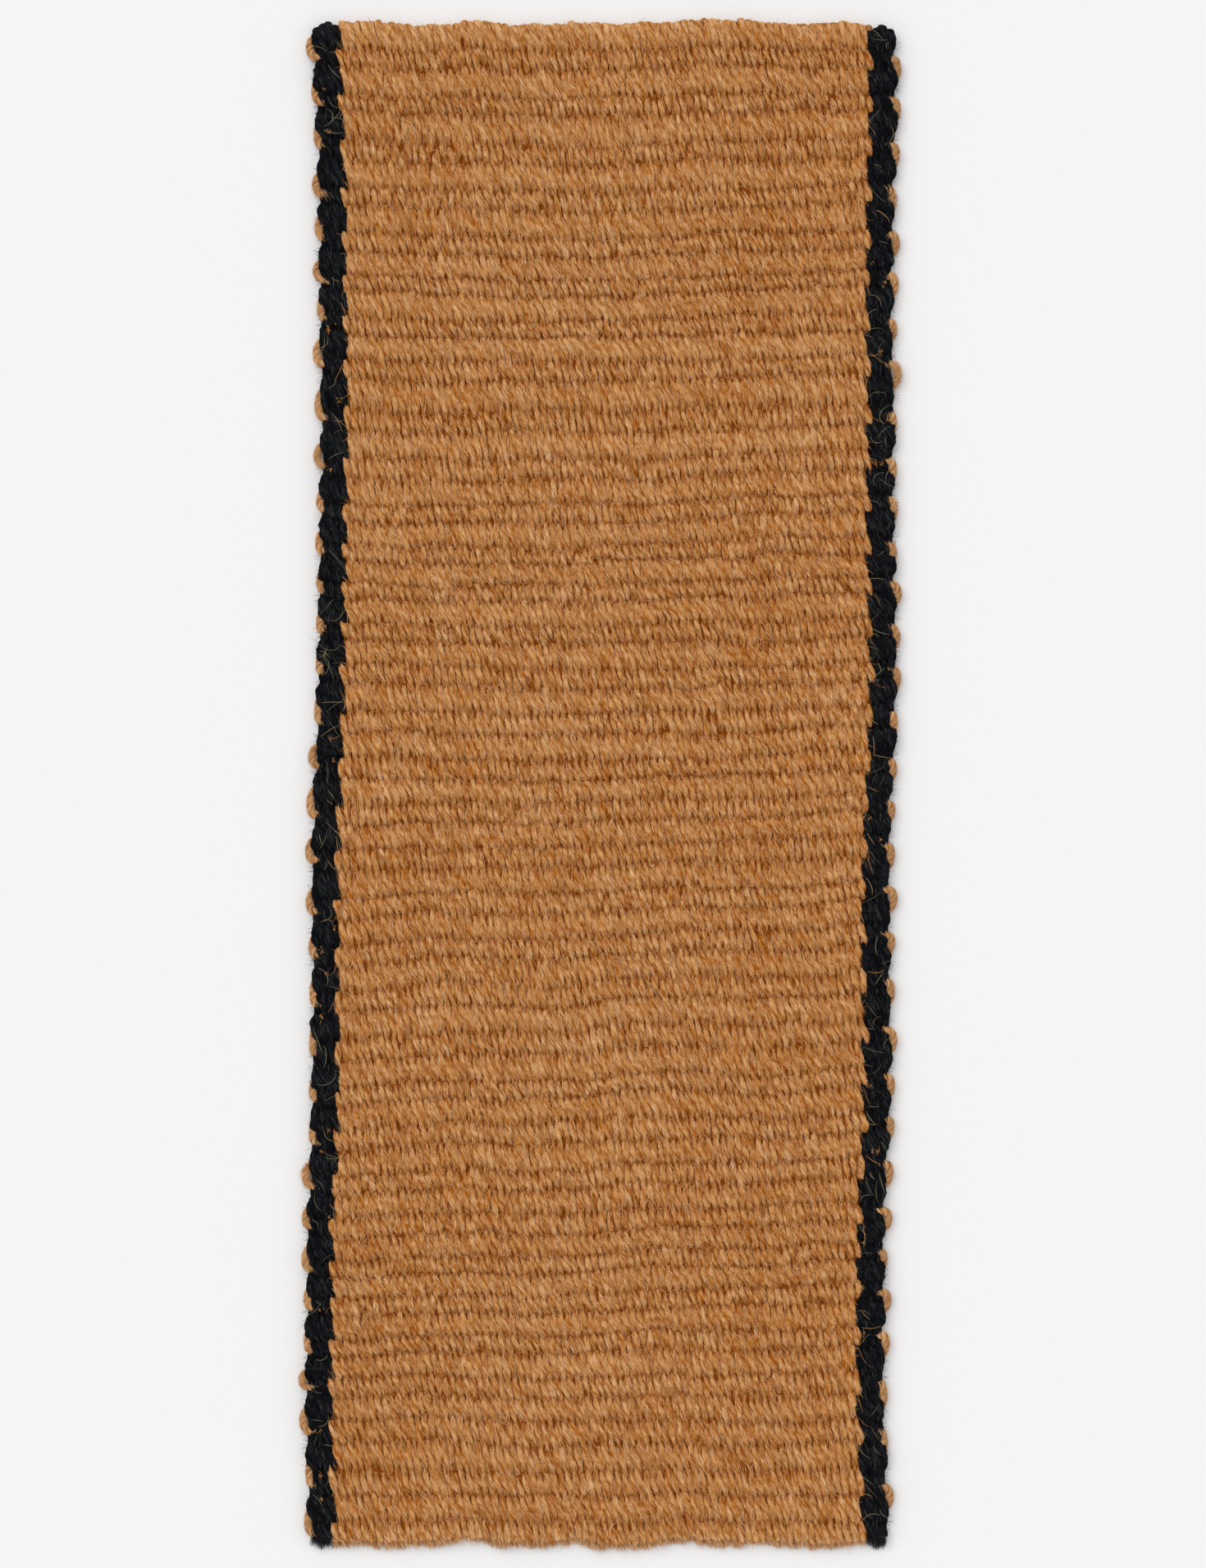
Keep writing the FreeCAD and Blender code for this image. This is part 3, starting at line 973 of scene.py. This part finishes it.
def band_hairs(rng):
    """Pale hairs that lie over the black bands, mostly towards the field."""
    count = 150
    edge = rng.choice([EDGE_LEFT, EDGE_RIGHT], count)
    x = edge - np.sign(edge) * rng.uniform(0, 0.016, count)
    y = rng.uniform(Y_LOW + 0.03, Y_HIGH - 0.02, count)
    starts = np.stack([x, y, np.full(count, 0.0165)], axis=-1)
    shape = {"length": (0.010, 0.032), "spread": 1.1, "curl": 1.3, "width": (0.25e-3, 0.42e-3)}
    shape.update(shade=0.36, made_of=PALE_HAIR)
    return [
        loose_hairs(f"stray_pale_hairs_{side}", 402, mine, heading=inward, **shape)
        for side, mine, inward in by_side(starts)
    ]


def band_specks(rng):
    """Specks of tan fibre that show between the black yarns."""
    count, each = 36, 8
    x = rng.choice([-1, 1], count) * (EDGE_RIGHT - rng.uniform(0.003, 0.022, count))
    y = pick_y(rng.integers(0, LAST_PICK, count) + 0.5)
    middle = np.stack([x, y, np.full(count, 0.0150)], axis=-1)
    scatter = rng.normal(0, 1, (each * count, 3)) * np.array([0.0010, 0.0014, 0.0004])
    starts = np.repeat(middle, each, axis=0) + scatter
    shape = {"length": (0.002, 0.004), "heading": 0.0, "spread": 1.2, "curl": 0.9, "width": (0.3e-3, 0.6e-3)}
    return [loose_hairs("band_specks", 405, starts, shade=0.50, made_of=TAN_HAIR, **shape)]


def edge_hairs(rng):
    """Short black hairs that stand out of both edges."""
    count = 1000
    edge = rng.choice([EDGE_LEFT, EDGE_RIGHT], count)
    y = rng.uniform(Y_LOW + 0.02, Y_HIGH - 0.02, count)
    z = rng.uniform(0.004, 0.014, count)
    starts = np.stack([edge + np.sign(edge) * 0.002, y, z], axis=-1)
    shape = {"length": (0.005, 0.012), "spread": 0.7, "curl": 0.9, "width": (0.22e-3, 0.35e-3)}
    shape.update(shade=0.4, made_of=BLACK_WARP)
    return [
        loose_hairs(f"black_edge_hairs_{side}", 403, mine, heading=math.pi - inward, **shape)
        for side, mine, inward in by_side(starts)
    ]


TAN_PARTS = 4  # the field's fibres are made in this many pieces of each kind
TAN_FUZZ, TAN_FELT = 26000, 11000  # fibres in each of them
BLACK_FUZZ = 4500  # in each band
TAN_CUT, BLACK_CUT = 75, 60  # at the cut end of each yarn
LOOP_FUZZ = 9000  # on all the loops
FRAYED_LOOPS = 4

cloth = []
for node, ends in ends_by_node().items():
    cloth.append(warp_piece(node, ends, TAN_WARP if node in TAN_NODES else BLACK_WARP))
cloth.append(make_weft(WEFT_CORD))
for i, ends in enumerate(np.array_split(np.arange(BLACK_ENDS, ENDS - BLACK_ENDS), TAN_PARTS)):
    x_range = (end_x(ends[0]), end_x(ends[-1]))
    cloth.append(surface_fibres(f"tan_fuzz_{i + 1}", 100 + i, ends, TAN_FUZZ, 0.04, TAN_HAIR))
    cloth.append(cut_fibres(f"tan_cut_fibres_{i + 1}", 200 + i, ends, TAN_CUT, TAN_HAIR))
    cloth.append(felt_fibres(f"tan_felt_{i + 1}", 500 + i, x_range, TAN_FELT, TAN_HAIR))
for side, ends in (("left", np.arange(BLACK_ENDS)), ("right", np.arange(ENDS - BLACK_ENDS, ENDS))):
    cloth.append(surface_fibres(f"black_fuzz_{side}", 300, ends, BLACK_FUZZ, 0.22, BLACK_WARP))
    cloth.append(cut_fibres(f"black_cut_fibres_{side}", 301, ends, BLACK_CUT, BLACK_WARP))
cloth.append(loop_fibres("loop_fuzz", 404, LOOP_FUZZ, FRAYED_LOOPS, WEFT_CORD))
hair_chance = np.random.default_rng(400)
for hairs in (field_hairs, band_hairs, band_specks, edge_hairs):
    cloth += hairs(hair_chance)

ground = make_ground(CLOTH_BODY)


# ---------------------------------------------------------------------------------------------------------
# Floor, light and camera

FLOOR_SIZE = 40  # so big that only the lowest views see past it
WORLD_STRENGTH = 0.66
SUN_STRENGTH = 1.30
SUN_ANGLE = 50  # degrees that it fills, so that its shadows are as soft as a big softbox's
SUN_PLACE = (-1.6, 2.2, 4.6)  # it shines from here towards the origin
LENS = 100
SENSOR = 36  # it covers the picture's height
FRAME_HEIGHT = 1.03017  # height of the picture, as a share of the rug's length
EYE_Y = -0.0005


def make_floor():
    """A plain pale floor."""
    bpy.ops.mesh.primitive_plane_add(size=FLOOR_SIZE, location=(0, 0, 0))
    floor = bpy.context.object
    floor.name = "floor"
    material = bpy.data.materials.new("floor")
    material.use_nodes = True
    shader = material.node_tree.nodes["Principled BSDF"]
    shader.inputs["Base Color"].default_value = (0.90, 0.90, 0.90, 1)
    shader.inputs["Roughness"].default_value = 0.9
    shader.inputs["Specular IOR Level"].default_value = 0.1
    floor.data.materials.append(material)


def make_light():
    """Even light from all round, and a soft sun from the far left."""
    world = bpy.data.worlds.new("studio")
    world.use_nodes = True
    background = world.node_tree.nodes["Background"]
    background.inputs["Color"].default_value = (1, 1, 1, 1)
    background.inputs["Strength"].default_value = WORLD_STRENGTH
    bpy.context.scene.world = world

    softbox = bpy.data.lights.new("softbox", "SUN")
    softbox.angle = math.radians(SUN_ANGLE)
    softbox.energy = SUN_STRENGTH
    lamp = bpy.data.objects.new("softbox", softbox)
    lamp.location = SUN_PLACE
    lamp.rotation_euler = (-Vector(SUN_PLACE)).to_track_quat("-Z", "Y").to_euler()
    bpy.context.scene.collection.objects.link(lamp)


def make_camera():
    """Straight above the rug, which fills as much of the frame as in a catalogue picture."""
    camera = bpy.data.cameras.new("camera")
    camera.lens = LENS
    camera.sensor_width = SENSOR
    camera.clip_end = 100
    eye = bpy.data.objects.new("camera", camera)
    eye.location = (0, EYE_Y, (Y_HIGH - Y_LOW) * FRAME_HEIGHT * LENS / SENSOR)
    bpy.context.scene.collection.objects.link(eye)
    bpy.context.scene.camera = eye


make_floor()
make_light()
make_camera()
bpy.context.scene.view_settings.view_transform = "Standard"
